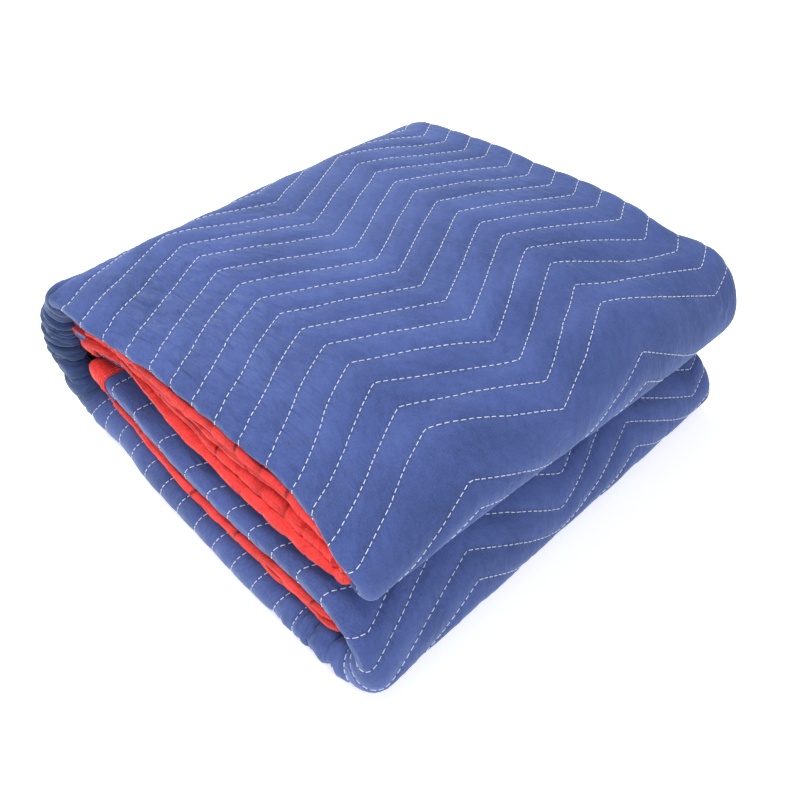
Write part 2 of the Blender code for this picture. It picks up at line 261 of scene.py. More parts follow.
# Straight legs: where one starts, which way it runs, and its height. Round ones: the middle, which
# way it bulges, and the radius.
STRAIGHT = {
    "under": (UNDER_END_X, 1, UPPER_BASE),
    "top": (UPPER_NOSE_X, -1, STACK),
    "bottom": (LEFT_TURN_X, 1, 0.0),
    "over": (LOWER_NOSE_X, -1, PACKET),
}
ROUND = {
    "upper_nose": (UPPER_NOSE_X, UPPER_BASE + NOSE, 1, NOSE),
    "left_turn": (LEFT_TURN_X, LEFT_TURN, -1, LEFT_TURN),
    "lower_nose": (LOWER_NOSE_X, NOSE, 1, NOSE),
}


def route(u):
    """The outer face at u in the level packet: x, z, and the direction into the packet."""
    x, z, into_x, into_z = (np.zeros_like(u) for _ in range(4))
    leg = np.clip(np.searchsorted(list(LEG_STARTS.values()), u, side="right") - 1, 0, 6)
    for i, name in enumerate(LEGS):
        here = leg == i
        d = u[here] - LEG_STARTS[name]
        if name in STRAIGHT:
            start, way, level = STRAIGHT[name]
            x[here], z[here], into_z[here] = start + way * d, level, way
        else:
            middle_x, middle_z, way, radius = ROUND[name]
            out_x, out_z = way * np.sin(d / radius), -way * np.cos(d / radius)
            x[here], z[here] = middle_x + radius * out_x, middle_z + radius * out_z
            into_x[here], into_z[here] = -out_x, -out_z
    return x, z, into_x, into_z


def press(x, y, z):
    """Moves points of the level packet to their places in the real pile."""
    sag = smooth((x - SAG_START_X) / SAG_RUN)
    upper = z > PACKET + PACKET_GAP / 2
    x = x - np.where(upper, UPPER_SAG * (z - UPPER_BASE - NOSE), LOWER_SAG * (z - NOSE)) * sag
    back = smooth((y - FRONT_Y) / (BACK_Y - FRONT_Y))
    x = x + np.where(upper, NOSE_SKEW, 0.0) * sag * back
    out = np.minimum(x - LEFT_TURN_X, 0.0)
    lean = mix(LEFT_LEAN_FRONT, LEFT_LEAN_BACK, back) * smooth(-out / LEFT_TURN)
    x = x + out * (LEFT_BULGE - 1) + lean * (z - LEFT_TURN)
    heights = [curve(HEIGHTS, HEIGHT_COLUMNS, name, x) for name in HEIGHT_COLUMNS[1:]]
    lower = mix(heights[0], heights[1], back)
    crown = LEFT_CROWN * 4 * back * (1 - back) * smooth(-out / LEFT_TURN + LEFT_CROWN_START)
    pile = mix(heights[2], heights[3], back) + crown
    above = lower + (z - PACKET) * (pile - lower) / (STACK - PACKET)
    z = np.where(z <= PACKET, z * lower / PACKET, above)
    return np.stack([x - CENTRE_X, y - CENTRE_Y, z], axis=-1)


def across(name, place, u):
    """y and depth of a place in one stretch of the cloth, at u. place is a share of the stretch."""
    lay = {key: curve(ROUTE, ROUTE_COLUMNS, key, u) for key in ROUTE_COLUMNS[1:]}
    edge_wave = sum(size * noise(u / run, 0.0, seed) for size, run, seed in EDGE_WAVES)
    pitch, half = lay["pitch"], CLOTH / 2
    radius = mix(0.5, 1.5, lay["full"]) * pitch
    front_y = lay["front"] + half + radius
    back_y = lay["back"] - half - 1.5 * pitch
    sin, cos = np.sin(math.pi * place), np.cos(math.pi * place)
    square = 1 - LIP_SQUARE * smooth((u - ZERO) / LIP_START) * (1 - smooth(lay["full"] / 0.3))
    dip = LIP_DIP * plateau(u, (ZERO, LIP_START), (TURN_START, 0.05))
    if name == "a1":
        return mix(lay["edge_a"] + edge_wave, back_y, place), half + 2 * pitch
    if name == "inner":
        return back_y + pitch / 2 * sin, half + (1.5 + cos / 2) * pitch
    if name == "a2":
        return mix(back_y, front_y + DROP_RUN, place), half + pitch + 0 * place
    if name == "drop":
        return front_y + DROP_RUN * (1 - place), half + pitch + (2 * radius - pitch) * smooth(place)
    if name == "front":
        bend_z = np.sign(cos) * np.abs(cos) ** square
        return front_y - radius * sin ** square, mix(half + dip, half + 2 * radius, (1 + bend_z) / 2)
    if name == "b2":
        y = B2_START + place * STRETCHES["b2"]
        first, last = front_y - B2_START, back_y - B2_START - STRETCHES["b2"]
        from_front, from_back = place * STRETCHES["b2"], (1 - place) * STRETCHES["b2"]
        y = y + first * (1 - smooth(from_front / EDGE_REACH))
        y = y + last * (1 - smooth(from_back / EDGE_REACH))
        return y, half + dip * np.clip(1 - from_front / LIP_RUN, 0, 1) ** 2
    if name == "outer":
        return back_y + 1.5 * pitch * sin, half + 1.5 * pitch * (1 - cos)
    return mix(back_y, lay["edge_b"] - edge_wave, place), half + 3 * pitch


def grid_rows():
    """Rows across the cloth: stretch, share of it, and the level of detail that keeps the row."""
    rows = []
    for name, length in STRETCHES.items():
        if name in FOLD_ROWS:
            steps = FOLD_ROWS[name]
            rows += [(name, i / steps, i % 2) for i in range(steps)]
        elif name == "b2":
            first = (ZIG_ZERO_Y - ZIG_LEG - B2_START) / length
            step = ZIG_LEG / BEND_ROWS / length
            steps = math.ceil((1 - first) / step)
            zone = EDGE_ZONE / SHOWN_ROW
            rows.append((name, 0.0, 0))
            for i in range(steps):
                at_bend = (i + 1) % BEND_ROWS < 3
                at_edge = i < zone or i > steps - zone / 2
                level = 1 if at_edge or at_bend else 2 if i % MEDIUM_ROW == 0 else 3
                level = 0 if i % COARSE_ROW == 0 else level
                rows.append((name, first + i * step, level))
        else:
            fine = round(EDGE_ZONE / SHOWN_ROW)
            zone = [i * SHOWN_ROW for i in range(fine)]
            plain = round((length - EDGE_ZONE) / HIDDEN_ROW)
            rest = [EDGE_ZONE + i * (length - EDGE_ZONE) / plain for i in range(plain)]
            at = [(d / length, i % 2 if d < EDGE_ZONE else 0) for i, d in enumerate(zone + rest)]
            if name != "a1":
                turned = [(1 - share, level) for share, level in reversed(at)]
                at = ([(0.0, 0)] + turned)[:len(at)]
            rows += [(name, share, level) for share, level in at]
    rows.append(("b1", 1.0, 0))
    return rows


def zigzag(s, slip):
    """How far a stitched line is carried at s, from 0 to 1, with slightly rounded bends."""
    from_bend = s - ZIG_ZERO_Y - slip
    t = np.where(from_bend > 0, from_bend / ZIG_LEG, from_bend / ZIG_FRONT_LEG)
    wave = np.abs((t + 1) % 2 - 1)
    near = np.minimum(wave, 1 - wave)
    rounded = np.sqrt(near ** 2 + ZIG_CORNER ** 2) - ZIG_CORNER * 0.5
    rounded = np.where(near > 4 * ZIG_CORNER, near - ZIG_CORNER * 0.45, rounded)
    return np.where(wave < 0.5, rounded, 1 - rounded)


MEASURED_PLACES = 4000


def measure():
    """Lengths along the outer face in the middle of the pile, for even steps of u."""
    u = np.linspace(0.0, LENGTH, MEASURED_PLACES)
    x, z, _, _ = route(u)
    points = press(x, np.zeros_like(u), z)
    steps = np.linalg.norm(np.diff(points, axis=0), axis=1)
    gathered = NOSE_GATHER * smooth((u - LOWER_START) / NOSE_GATHER_RUN + 1)
    return u, np.concatenate([[0.0], np.cumsum(steps)]) + gathered


MEASURED_U, MEASURED_LENGTH = measure()
CUT_LENGTH = float(MEASURED_LENGTH[-1])


def u_of(length):
    """u at a length along the outer face."""
    return np.interp(length, MEASURED_LENGTH, MEASURED_U)


def length_of(u):
    """Length along the outer face at u."""
    return float(np.interp(u, MEASURED_U, MEASURED_LENGTH))


CUT_ZERO = length_of(ZERO) + LINE_OFFSET


def inside(u, spans):
    """Whether u is in one of the spans."""
    return any(first < u < last for first, last in spans)


def grid_columns():
    """Columns along the cloth, each as a distance in stitched lines from the line at ZERO."""
    ends = [-CUT_ZERO / LINE, (CUT_LENGTH - CUT_ZERO) / LINE]
    columns = []
    for k in range(math.ceil(ends[0]), math.floor(ends[1]) + 1):
        u = u_of(CUT_ZERO + (k + 0.5) * LINE)
        steps = SHOWN_STEPS if inside(u, SHOWN_SPANS) else HIDDEN_STEPS
        if inside(u, GATHERED_SPANS):
            steps = GATHERED_STEPS
        columns += [k + i / steps for i in range(steps)]
    edges = [ends[0] + i * EDGE_STEP / LINE for i in range(EDGE_COLUMNS)]
    edges += [ends[1] - i * EDGE_STEP / LINE for i in range(EDGE_COLUMNS)]
    clear = EDGE_CLEAR / LINE
    columns = [c for c in columns if ends[0] + clear < c < ends[1] - clear]
    return np.array(sorted(columns + edges))


COLUMNS = grid_columns()
COLUMN_LENGTH = CUT_ZERO + COLUMNS * LINE
ROWS = grid_rows()
ROW_KIND = np.array([name for name, _, _ in ROWS])
ROW_SHARE = np.array([share for _, share, _ in ROWS])
ROW_S = np.array([STRETCH_STARTS[name] + share * STRETCHES[name] for name, share, _ in ROWS])


# The lines are stitched a little unsteadily: size, length and seed of each wave.
WOBBLES = ((0.0010, 0.034, 5), (0.0002, 0.015, 6))
WOBBLE_LINES = 0.9  # how fast the wobble changes from line to line

CURL = np.array((0.0030, -0.0010, 0.0085))  # how far the front corner of the over end lifts
CURL_LENGTH = 0.034
CURL_START_Y = -0.222
CURL_RUN = 0.02


def fold():
    """Points of the cloth's middle by column and row, with u and the place on a line of each."""
    plain = u_of(COLUMN_LENGTH)
    full = curve(ROUTE, ROUTE_COLUMNS, "full", plain)
    extra = math.pi * full * PITCH
    before_fold = np.isin(ROW_KIND, NAMES[:NAMES.index("front")])
    in_fold = (1 - ROW_SHARE) * (ROW_KIND == "front")
    s = ROW_S - extra[:, None] * (before_fold + in_fold)
    on_over = smooth((plain - OVER_START + 0.020) / 0.07)[:, None]
    on_nose = plateau(plain, (LOWER_START, 0.03), (OVER_START, 0.03))[:, None]
    slip = OVER_SLIP * on_over
    slip = slip - NOSE_SLIP * on_nose * (1 - smooth((s - ZIG_ZERO_Y) / NOSE_SLIP_RUN))
    fade = smooth((np.minimum(COLUMN_LENGTH, CUT_LENGTH - COLUMN_LENGTH) - STRIP_START) / ZIG_FADE)
    lines = COLUMNS[:, None] * WOBBLE_LINES
    wobble = sum(size * noise(s / run, lines, seed) for size, run, seed in WOBBLES)
    u = u_of(COLUMN_LENGTH[:, None] + (wobble - ZIG_SHIFT * zigzag(s, slip)) * fade[:, None])
    points = np.zeros((*u.shape, 3))
    for j, (name, share, _) in enumerate(ROWS):
        y, depth = across(name, np.full(len(COLUMNS), share), u[:, j])
        x, z, into_x, into_z = route(u[:, j])
        points[:, j] = press(x + into_x * depth, y, z + into_z * depth)
        if name in ("a2", "drop", "front", "b2"):
            near_end = smooth((u[:, j] - LENGTH) / CURL_LENGTH + 1)
            near_front = smooth((CURL_START_Y - y) / CURL_RUN)
            points[:, j] += (near_end * near_front)[:, None] * CURL
    return points, u, s


def normals(points):
    """Directions out of the cloth's outer face."""
    along, over = np.gradient(points, axis=0), np.gradient(points, axis=1)
    n = np.cross(over, along)
    return n / np.maximum(np.linalg.norm(n, axis=-1, keepdims=True), 1e-9)


GROOVE = 0.0038  # how wide the pull of a stitched line is
GROOVE_POWER = 1.15


def pillow():
    """Quilting at each column: 0 on a stitched line and near 1 away from the lines."""
    lines = np.round(COLUMNS)
    lines = np.where(lines == MISSING_LINE, lines + np.sign(COLUMNS - lines + 1e-9), lines)
    return 1 - np.exp(-(np.abs(COLUMNS - lines) * LINE / GROOVE) ** GROOVE_POWER)


def leg_share(u, name):
    """How far along a leg u is, not limited to the leg."""
    return (u - LEG_STARTS[name]) / LEG_LENGTHS[name]


# Valleys of the gathered cloth in the left turn and at the foot of the lower nose: how many for
# each stitched line, the length, depth and sharpness of one, and a seed.
GATHERS = ((1.7, 0.024, 0.0062, 3.0, 12), (4.1, 0.011, 0.0026, 2.0, 13))
CORNER_GATHERS = ((2.3, 0.016, 0.0046, 3.0, 14), (5.0, 0.008, 0.0022, 2.0, 15))
GATHER_TILT = 0.25
CORNER_TILT = -0.3
GATHER_REACH = 0.03  # how far behind the front fold the gathers die out
CORNER_REACH = 0.02
GATHER_PULL = 0.0016  # how far the stitched lines pull in there
CORNER_PULL = 0.001

# Relief of the outer face. Waves have a height, a length along and across the cloth, and a seed.
BROAD_WAVES = ((0.0016, 0.075, 0.060, 21), (0.0009, 0.034, 0.028, 22))
CREASE = 0.00055  # height of the soft creases
CREASE_SEED = 23
RIDGE = 0.0014  # height of the slight ridge along the lip of the top
RIDGE_S = -0.235
RIDGE_WIDTH = 0.006

# Half the thickness of the quilted cloth on each side of its middle, and what the padding adds.
OUTER_HALF = 0.002
OUTER_SWELL = (0.0011, 0.0016)  # plain and gathered
FOLD_SWELL = (0.0006, 0.0014)  # the same in the front fold
HIDDEN_SWELL = 0.6  # as a share, where the face doesn't show
INNER_HALF = 0.0024
INNER_SWELL = 0.0012
BOUND_HALF = 0.0036  # under the binding


def gathers(u, s, fold_front, outside):
    """How much the cloth is gathered in the left turn and at the foot of the lower nose."""
    turn = leg_share(u, "left_turn")
    past_fold = s - B2_START
    gather = bump_at(turn, 0.50, 0.34) * (0.35 + 0.65 * smooth((turn - 0.22) / 0.15))
    corner = bump_at(leg_share(u, "bottom"), 0.93, 0.13)
    gather = gather * (fold_front + outside * np.exp(-past_fold / GATHER_REACH))
    corner = corner * (fold_front + outside * np.exp(-past_fold / CORNER_REACH))
    return gather, corner


def valleys(arc, tilt, layers, middle):
    """Depth of the valleys in gathered cloth. arc is the place on a stitched line."""
    depth = 0.0
    for places, run, most, power, seed in layers:
        wave = noise(COLUMNS[:, None] * places + tilt * arc / run, arc / run, seed)
        depth = depth + most * ((1 - np.abs(wave)) ** power - middle)
    return depth


def unevenness(u, s, puff):
    """Soft waves and creases of the outer face, and the ridge along the lip of the top."""
    broad = sum(size * noise(u / along, s / over, seed) for size, along, over, seed in BROAD_WAVES)
    front_left = smooth((u - ZERO - 0.02) / 0.10) * np.exp(-np.maximum(s + 0.20, 0) / 0.11)
    cross = noise(u / 0.030 + s / 0.11, (s + 0.3 * u) / 0.0095, CREASE_SEED)
    fine = CREASE * (0.30 + 1.2 * front_left) * (1 - 2 * np.abs(cross)) * puff ** 0.5
    on_lip = plateau(u, (ZERO + 0.02, 0.05), (ZERO + 0.27, 0.05))
    return broad + fine + RIDGE * bump_at(s, RIDGE_S, RIDGE_WIDTH) * on_lip


def under_binding():
    """Where the binding covers the cloth."""
    from_a = np.where(ROW_KIND == "a1", ROW_SHARE * STRETCHES["a1"], 1.0)
    from_b = np.where(ROW_KIND == "b1", (1 - ROW_SHARE) * STRETCHES["b1"], 1.0)
    from_end = np.minimum(COLUMN_LENGTH, CUT_LENGTH - COLUMN_LENGTH)[:, None]
    return np.minimum(np.minimum(from_a, from_b), from_end) < BINDING_WIDTH - 0.001


class Cloth:
    """The folded cloth: both faces, and the directions out of the outer one."""

    def __init__(self):
        points, u, arc = fold()
        s = ROW_S + 0 * u
        puff = pillow()[:, None] + 0 * u
        outside, fold_front, fold_back = ((ROW_KIND == name) + 0.0 for name in ("b2", "front", "outer"))
        gather, corner = gathers(u, s, fold_front, outside)

        pull = GATHER_PULL * gather + CORNER_PULL * corner
        uneven = 1 + 0.55 * noise(np.round(COLUMNS)[:, None] * 1.7, s / 0.03, 11)
        lift = -pull * (1 - puff) * uneven
        lift = lift - np.clip(gather, 0, 1) * valleys(arc, GATHER_TILT, GATHERS, 0.35)
        lift = lift - np.clip(corner, 0, 1) * valleys(arc, CORNER_TILT, CORNER_GATHERS, 0.25)

        # The relief stays on the parts of the outer face that lie free.
        upper = plateau(u, (UPPER_START + 0.04, 0.03), (BOTTOM_START - 0.03, 0.03))
        lower = plateau(u, (LOWER_START + 0.02, 0.03), (OVER_START - 0.01, 0.02))
        free = np.clip(upper + lower, 0, 1) * (outside + fold_front + fold_back)
        inner_wave = 0.0003 * noise(u / 0.012, s / 0.02, 31)
        lift = lift + free * unevenness(u, s, puff) + (1 - free) * inner_wave
        middle = points + normals(points) * lift[..., None]
        self.normal = normals(middle)

        gathered = np.clip(gather + 0.4 * corner, 0, 1)
        swell = mix(*OUTER_SWELL, gathered) * np.where(outside + fold_back > 0, 1.0, HIDDEN_SWELL)
        in_fold = mix(*FOLD_SWELL, np.clip(gather + 0.5 * corner, 0, 1))
        swell = np.where(fold_front > 0, in_fold, swell)
        bound = under_binding()
        outer_half = np.where(bound, BOUND_HALF, OUTER_HALF + swell * puff)
        inner_half = np.where(bound, BOUND_HALF, INNER_HALF + INNER_SWELL * puff)
        self.outer = middle + self.normal * outer_half[..., None]
        self.inner = middle - self.normal * inner_half[..., None]
        for face in (self.outer, self.inner):
            face[..., 2] = np.maximum(face[..., 2], LEAST_Z)


def zip_strips(a, b, faces, flip):
    """Faces between two rows of (key, point) pairs, whose keys rise together."""
    i = j = 0
    while i < len(a) - 1 or j < len(b) - 1:
        key_a = a[i + 1][0] if i < len(a) - 1 else math.inf
        key_b = b[j + 1][0] if j < len(b) - 1 else math.inf
        face = [a[i][1]]
        if key_a <= key_b:
            face.append(a[i + 1][1])
        if key_b <= key_a:
            face.append(b[j + 1][1])
        face.append(b[j][1])
        faces.append(tuple(face[::-1] if flip else face))
        i += key_a <= key_b
        j += key_b <= key_a


def placed(name, data):
    """A new object in the scene."""
    made = bpy.data.objects.new(name, data)
    bpy.context.scene.collection.objects.link(made)
    return made


def mesh_object(name, points, faces, uv=None):
    mesh = bpy.data.meshes.new(name)
    mesh.from_pydata([tuple(p) for p in points], [], faces)
    mesh.shade_smooth()
    if uv is not None:
        layer = mesh.uv_layers.new(name="cloth")
        loops = np.zeros(len(mesh.loops), np.int32)
        mesh.loops.foreach_get("vertex_index", loops)
        layer.data.foreach_set("uv", np.asarray(uv, np.float32)[loops].ravel())
    return placed(name, mesh)


def panel(cloth):
    """The quilted cloth as one closed sheet."""
    count = len(COLUMNS)
    points, uv, index = [], [], {}

    def point(side, i, j):
        key = (side, i, j)
        if key not in index:
            index[key] = len(points)
            points.append((cloth.outer if side else cloth.inner)[i, j])
            uv.append((COLUMNS[i] * LINE, ROW_S[j]))
        return index[key]

    def line(side, i, rows):
        return [(j, point(side, i, j)) for j in rows]

    on_step = np.abs(COLUMNS * SHOWN_STEPS - np.round(COLUMNS * SHOWN_STEPS)) < 1e-6
    all_rows = list(range(len(ROWS)))
    kept = {name: 2 if name in ("front", "b2") else 0 for name in NAMES}
    some_rows = [j for j, (name, _, level) in enumerate(ROWS) if level <= kept[name]]
    few_rows = [j for j, (_, _, level) in enumerate(ROWS) if level <= 1]
    outer_rows = [
        (all_rows if whole else some_rows) if inside(u, SHOWN_SPANS) else few_rows
        for u, whole in zip(u_of(COLUMN_LENGTH), on_step)
    ]
    inner_rows = [j for j, row in enumerate(ROWS) if row[2] == 0 or j in (0, len(ROWS) - 1)]
    inner_columns = sorted(set(range(0, count, 3)) | {count - 1})
    faces = []
    for i in range(count - 1):
        low, high = line(1, i, outer_rows[i]), line(1, i + 1, outer_rows[i + 1])
        zip_strips(low, high, faces, True)
    for i, k in zip(inner_columns, inner_columns[1:]):
        zip_strips(line(0, i, inner_rows), line(0, k, inner_rows), faces, False)
    for j, flip in ((0, False), (len(ROWS) - 1, True)):
        low = [(i, point(1, i, j)) for i in range(count)]
        high = [(i, point(0, i, j)) for i in inner_columns]
        zip_strips(low, high, faces, flip)
    for i, flip in ((0, True), (count - 1, False)):
        zip_strips(line(1, i, outer_rows[i]), line(0, i, inner_rows), faces, flip)
    return mesh_object("quilted_panel", points, faces, uv)


TAPE = 0.0009  # thickness of the binding
TAPE_INSIDE = 0.0001  # from the cloth to its inner face
RIM_STEPS = 4


def unit(vector):
    return vector / max(np.linalg.norm(vector), 1e-9)


def tape_rings(lines, puckers):
    """Rings round a bound edge. lines are (outer, inner) points from the edge inwards."""
    rings = []
    for (outer, inner), pucker_heights in zip(lines, puckers):
        middle = (outer[0] + inner[0]) / 2
        away = unit(middle - (outer[1] + inner[1]) / 2)
        half = np.linalg.norm(outer[0] - inner[0]) / 2
        ups = [unit(top - under) for top, under in zip(outer, inner)]
        ring = []
        for off, share, turned in ((TAPE, 1, False), (TAPE_INSIDE, 0, True)):
            offs = off + share * pucker_heights
            path = [top + up * d for top, up, d in zip(outer, ups, offs)][::-1]
            reach = half + off + 0.5 * share * pucker_heights[0]
            for k in range(1, RIM_STEPS):
                angle = math.pi * k / RIM_STEPS
                path.append(middle + reach * (ups[0] * math.cos(angle) + away * math.sin(angle)))
            path += [under - up * d for under, up, d in zip(inner, ups, offs)]
            ring += path[::-1] if turned else path
        rings.append(np.maximum(ring, (-1.0, -1.0, LEAST_Z)))
    return rings


def tube(name, rings, along):
    """A closed body through rings of the same number of points, at places along the cloth."""
    n = len(rings[0])
    points = [p for ring in rings for p in ring]
    faces = []
    for i in range(len(rings) - 1):
        for j in range(n):
            k = (j + 1) % n
            faces.append((i * n + j, (i + 1) * n + j, (i + 1) * n + k, i * n + k))
    last = (len(rings) - 1) * n
    for j in range(n // 2 - 1):
        faces.append((j, j + 1, n - 2 - j, n - 1 - j))
        faces.append((last + n - 1 - j, last + n - 2 - j, last + j + 1, last + j))
    uv = [(place, TAPE_V * min(j, n - j)) for place in along for j in range(n)]
    return mesh_object(name, points, faces, uv)


TAPE_STEP = 0.0017  # between two rings of a tape
TAPE_RIPPLE = 0.0006  # height of its small folds
TAPE_WAVE = 0.001  # height of its slow waves
TAPE_NOTCH = 0.002  # how deep the stitched lines pull it in
NOTCH_WIDTH = 0.0016
TAPE_V = 0.0016  # step of its second texture coordinate round a ring


def pucker(along, depth, seed):
    """Small folds of a tape, sharp in the valleys, as a height over its own face."""
    wave = noise((along + 0.3 * depth) / 0.0060, depth / 0.016, seed)
    slow = noise(along / 0.019, depth / 0.024, seed + 1)
    off_line = np.abs((along / LINE + 0.5) % 1 - 0.5) * LINE
    notch = bump_at(off_line + 0.25 * depth, 0.001, NOTCH_WIDTH)
    ripple = TAPE_RIPPLE * (1 - np.abs(wave)) ** 1.5 * (0.6 + 0.4 * slow)
    return np.maximum(ripple + TAPE_WAVE * (slow + 0.9) - TAPE_NOTCH * notch, 0.0)


def side_binding(cloth, name, row_order, seed):
    """The tape along one long edge. row_order runs from the edge inwards."""
    steps = round((CUT_LENGTH - 2 * STRIP_START) / TAPE_STEP)
    along = STRIP_START + np.arange(steps + 1) * (CUT_LENGTH - 2 * STRIP_START) / steps

    def resampled(face):
        points = face[:, row_order].reshape(len(COLUMN_LENGTH), -1)
        fine = [np.interp(along, COLUMN_LENGTH, values) for values in points.T]
        return np.stack(fine, axis=1).reshape(len(along), len(row_order), 3)

    lines = list(zip(resampled(cloth.outer), resampled(cloth.inner)))
    depth = np.abs(ROW_S[row_order] - ROW_S[row_order[0]])
    puckers = [pucker(a, depth, seed) for a in along]
    return tube(name, tape_rings(lines, puckers), along)


def end_binding(cloth, name, column_order, seed):
    """The tape along one short edge, through all four layers and their folds."""
    lines = [(cloth.outer[column_order, j], cloth.inner[column_order, j]) for j in range(len(ROWS))]
    depth = np.abs(COLUMNS[column_order] - COLUMNS[column_order[0]]) * LINE
    puckers = [0.5 * pucker(s, depth, seed) for s in ROW_S]
    return tube(name, tape_rings(lines, puckers), ROW_S)


STITCH = 0.0064  # from one stitch to the next
STITCH_SHOWN = 0.0047  # how much of one shows
THREAD = 0.0004  # radius
THREAD_SIDES = 5
# Rings of a stitch: the place as a share of its length, the lift, and the radius as a share.
STITCH_RINGS = ((0.0, -0.0003, 0.6), (0.1, 0.00022, 1.0), (0.9, 0.00022, 1.0), (1.0, -0.0003, 0.6))


def stitches_on(path, up, rng, points, faces):
    """Adds thread dashes along a path of points that lie in the groove of a stitched line."""
    along = np.concatenate([[0.0], np.cumsum(np.linalg.norm(np.diff(path, axis=0), axis=1))])

    def at(d):
        place = np.array([np.interp(d, along, path[:, k]) for k in range(3)])
        out = np.array([np.interp(d, along, up[:, k]) for k in range(3)])
        return place, unit(out)

    d = rng.uniform(0.0, STITCH)
    while d + STITCH_SHOWN < along[-1]:
        long = STITCH_SHOWN * rng.uniform(0.9, 1.08)
        forward = unit(at(d + long)[0] - at(d)[0])
        first = len(points)
        for share, lift, size in STITCH_RINGS:
            place, out = at(d + share * long)
            side = unit(np.cross(forward, out))
            out = np.cross(side, forward)
            for k in range(THREAD_SIDES):
                angle = 2 * math.pi * k / THREAD_SIDES
                ring = side * math.cos(angle) + out * math.sin(angle)
                points.append(place + out * lift + ring * THREAD * size)
        n = THREAD_SIDES
        last = first + (len(STITCH_RINGS) - 1) * n
        for a in range(first, last, n):
            for k in range(n):
                m = (k + 1) % n
                faces.append((a + k, a + m, a + n + m, a + n + k))
        faces.append(tuple(first + k for k in reversed(range(n))))
        faces.append(tuple(last + k for k in range(n)))
        d += STITCH * rng.uniform(0.96, 1.05)


# Spans of u where the stitches on the front fold are lost in the gathered cloth.
LOST_SPANS = ((TURN_START + 0.050, BOTTOM_START - 0.010), (LOWER_START - 0.020, LOWER_START + 0.050))
# How far the stitches that show go on from a fold where the rest of the face is hidden.
STITCHED_FRONT = 0.055
STITCHED_BACK = 0.03
LOST_FRONT = 0.022  # how far from the fold they are lost in the gathered cloth


def quilting(cloth):
    """White thread on every stitched line, where the outer face can be seen."""
    rng = np.random.default_rng(7)
    points, faces = [], []
    from_front = ROW_SHARE * STRETCHES["b2"]
    from_back = STRETCHES["b2"] - from_front
    front, flat, back = (ROW_KIND == name for name in ("front", "b2", "outer"))
    near_front = front | (flat & (from_front < STITCHED_FRONT)) | (ROW_KIND == "drop")
    near_back = back | (flat & (from_back < STITCHED_BACK))
    on_fold = front | (flat & (from_front < LOST_FRONT))
    for i, c in enumerate(COLUMNS):
        k = round(c)
        if abs(c - k) > 1e-6 or k == MISSING_LINE:
            continue
        u = u_of(COLUMN_LENGTH[i])
        spans = [front | flat | back] if inside(u, SHOWN_SPANS) else [near_front, near_back]
        for span in spans:
            rows = np.flatnonzero(span & ~on_fold if inside(u, LOST_SPANS) else span)
            stitches_on(cloth.outer[i, rows], cloth.normal[i, rows], rng, points, faces)
    return mesh_object("quilting_thread", points, faces)


TAPE_STITCH_LINES = (0.0165, 0.0198)  # distances of the two rows of stitches from the bound end
SIDE_STITCH_LINE = 0.018  # distance of the one row from a side edge
END_STITCH_LIFT = 0.0007  # how far the red stitches lie over the plain face of a tape
SIDE_STITCH_LIFT = 0.0012


def tape_stitches(cloth, ends, sides):
    """Red thread on the tapes. ends and sides list columns or rows from the edge inwards."""
    rng = np.random.default_rng(17)
    points, faces = [], []

    def sew(face, sign, order, places, distance, lift, axis):
        """One row of stitches at a distance from the edge."""
        lengths = np.abs(places[order] - places[order[0]])
        k = np.searchsorted(lengths, distance) - 1
        t = (distance - lengths[k]) / (lengths[k + 1] - lengths[k])
        path, up = (
            mix(np.take(values, order[k], axis), np.take(values, order[k + 1], axis), t)
            for values in (face, sign * cloth.normal)
        )
        stitches_on(path + up * (TAPE + lift), up, rng, points, faces)

    for order in ends:
        for distance in TAPE_STITCH_LINES:
            sew(cloth.outer, 1, order, COLUMN_LENGTH, distance, END_STITCH_LIFT, 0)
    for order in sides:
        for face, sign in ((cloth.outer, 1), (cloth.inner, -1)):
            sew(face, sign, order, ROW_S, SIDE_STITCH_LINE, SIDE_STITCH_LIFT, 1)
    return mesh_object("tape_thread", points, faces)


